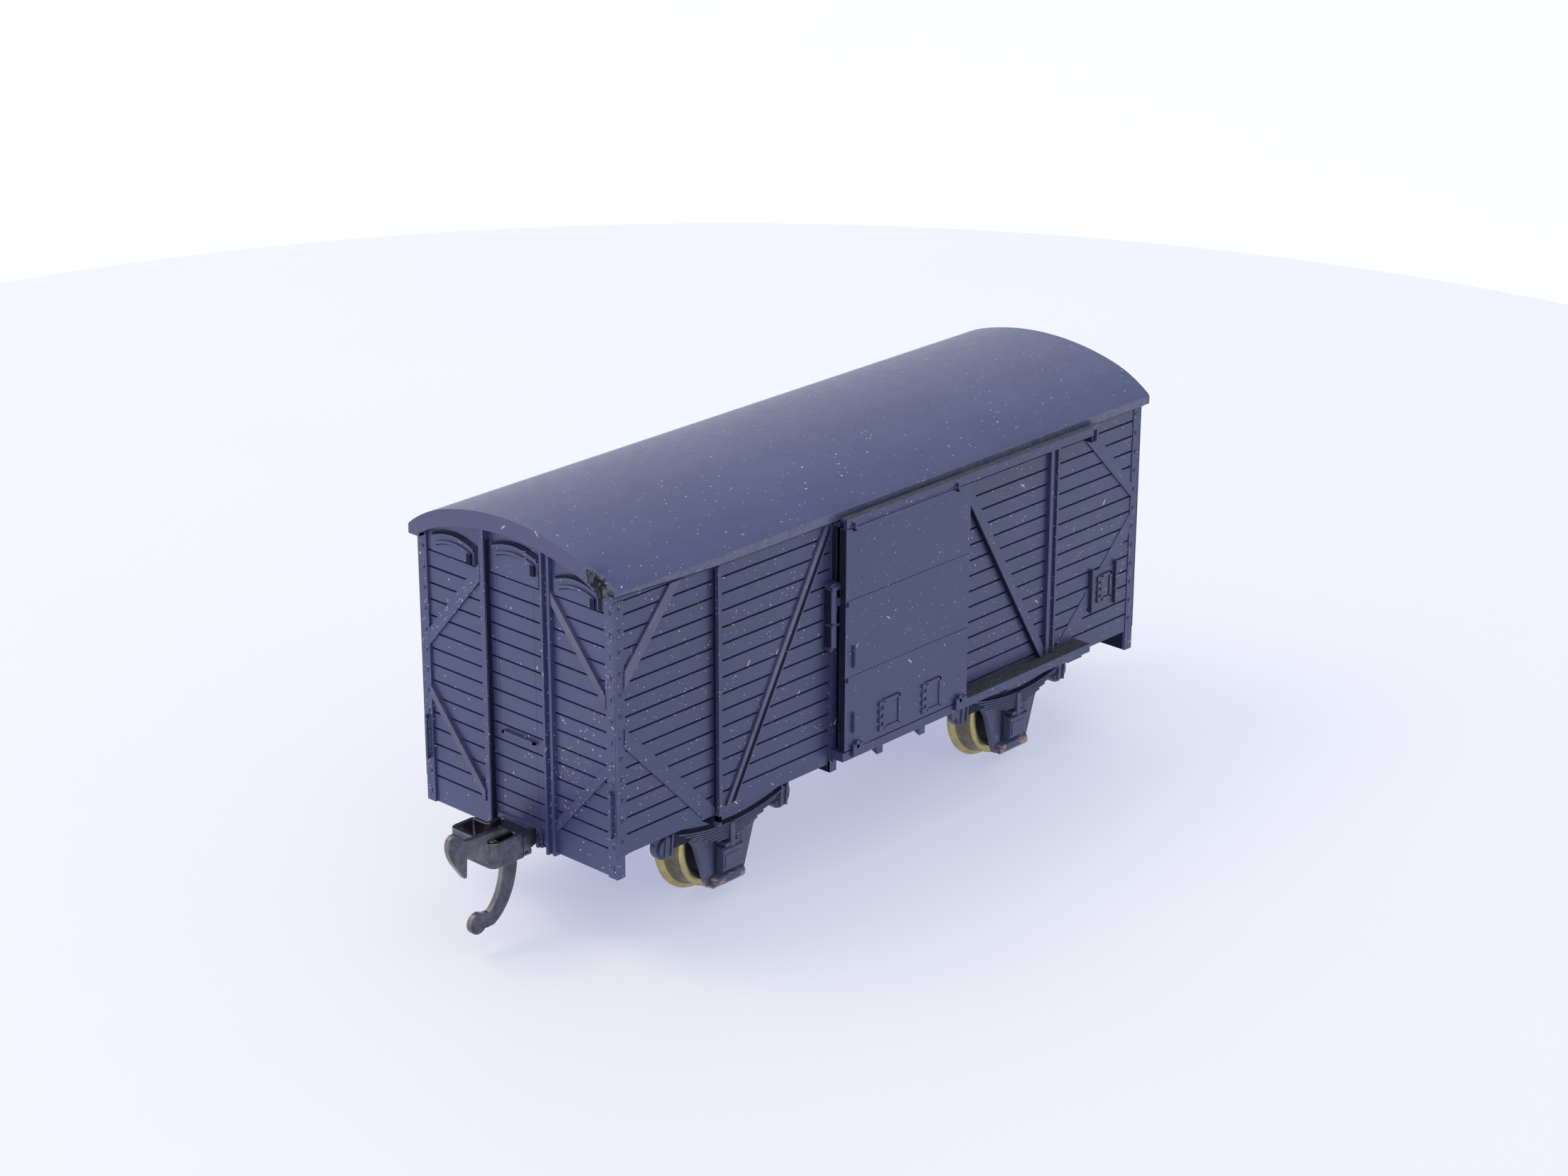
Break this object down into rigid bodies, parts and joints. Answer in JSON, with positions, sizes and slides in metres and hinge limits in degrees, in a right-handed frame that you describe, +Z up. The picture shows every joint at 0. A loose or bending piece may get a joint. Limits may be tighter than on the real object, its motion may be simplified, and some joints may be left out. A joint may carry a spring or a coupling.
{
  "type": "model railway box car",
  "caption": "Two-axle model railway box car with planked sides, sliding doors, arched roof, brass-tyred wheels and hook-and-loop couplers.",
  "frame": {"origin": "on the plane of the wheel flanges' lowest points, midway between the axles and midway between the sides", "axes": "+X along the car, with the door side that shows at -Y; +Y across the car; +Z up"},
  "size_m": [0.114, 0.0348, 0.0471],
  "materials": {
    "black_plastic": "satin",
    "black_casting": "satin",
    "brass_tyre": "slightly tarnished",
    "dark_steel": "blackened, worn at the edges",
    "plain_steel": "plain",
    "wheel_plastic": "matt"
  },
  "bodies": {
    "car_body": {"roof": "black_plastic", "side_wall_front": "black_plastic", "side_wall_back": "black_plastic", "end_wall_left": "black_plastic", "end_wall_right": "black_plastic", "floor": "black_plastic", "ballast_weight": "plain_steel", "axle_bracket_left": "black_casting", "axle_bracket_right": "black_casting", "bracket_screw_left_1": "plain_steel", "bracket_screw_left_2": "plain_steel", "bracket_screw_right_1": "plain_steel", "bracket_screw_right_2": "plain_steel", "weight_screw_left": "plain_steel", "weight_screw_right": "plain_steel", "coupler_screw_left": "plain_steel", "coupler_screw_right": "plain_steel"},
    "wheelset_left": {"axle_left": "plain_steel", "wheel_tyre_left_front": "brass_tyre", "wheel_tyre_left_back": "brass_tyre", "wheel_centre_left_front": "wheel_plastic", "wheel_centre_left_back": "wheel_plastic"},
    "wheelset_right": {"axle_right": "plain_steel", "wheel_tyre_right_front": "brass_tyre", "wheel_tyre_right_back": "brass_tyre", "wheel_centre_right_front": "wheel_plastic", "wheel_centre_right_back": "wheel_plastic"},
    "sliding_door_front": {"door_front": "black_plastic"},
    "sliding_door_back": {"door_back": "black_plastic"},
    "coupler_left": {"coupler_frame_left": "dark_steel", "hook_pin_left": "dark_steel"},
    "coupler_right": {"coupler_frame_right": "dark_steel", "hook_pin_right": "dark_steel"},
    "hook_left": {"coupler_hook_left": "dark_steel"},
    "hook_right": {"coupler_hook_right": "dark_steel"}
  },
  "joints": [
    {"name": "wheelset_left_spin", "type": "hinge", "parent": "car_body", "child": "wheelset_left", "pos_m": [-0.0248, 0, 0.0065], "axis": [0, 1, 0], "continuous": true},
    {"name": "wheelset_right_spin", "type": "hinge", "parent": "car_body", "child": "wheelset_right", "pos_m": [0.0248, 0, 0.0065], "axis": [0, 1, 0], "continuous": true},
    {"name": "door_front_slide", "type": "slide", "parent": "car_body", "child": "sliding_door_front", "axis": [1, 0, 0], "range_m": [0, 0.022]},
    {"name": "door_back_slide", "type": "slide", "parent": "car_body", "child": "sliding_door_back", "axis": [-1, 0, 0], "range_m": [0, 0.022]},
    {"name": "coupler_left_swing", "type": "hinge", "parent": "car_body", "child": "coupler_left", "pos_m": [-0.0385, 0, 0.0102], "axis": [0, 0, 1], "range_deg": [-7, 7]},
    {"name": "coupler_right_swing", "type": "hinge", "parent": "car_body", "child": "coupler_right", "pos_m": [0.0385, 0, 0.0102], "axis": [0, 0, 1], "range_deg": [-7, 7]},
    {"name": "hook_left_lift", "type": "hinge", "parent": "coupler_left", "child": "hook_left", "pos_m": [-0.0483, 0, 0.0113], "axis": [0, 1, 0], "range_deg": [0, 25]},
    {"name": "hook_right_lift", "type": "hinge", "parent": "coupler_right", "child": "hook_right", "pos_m": [0.0483, 0, 0.0113], "axis": [0, -1, 0], "range_deg": [0, 25]}
  ]
}
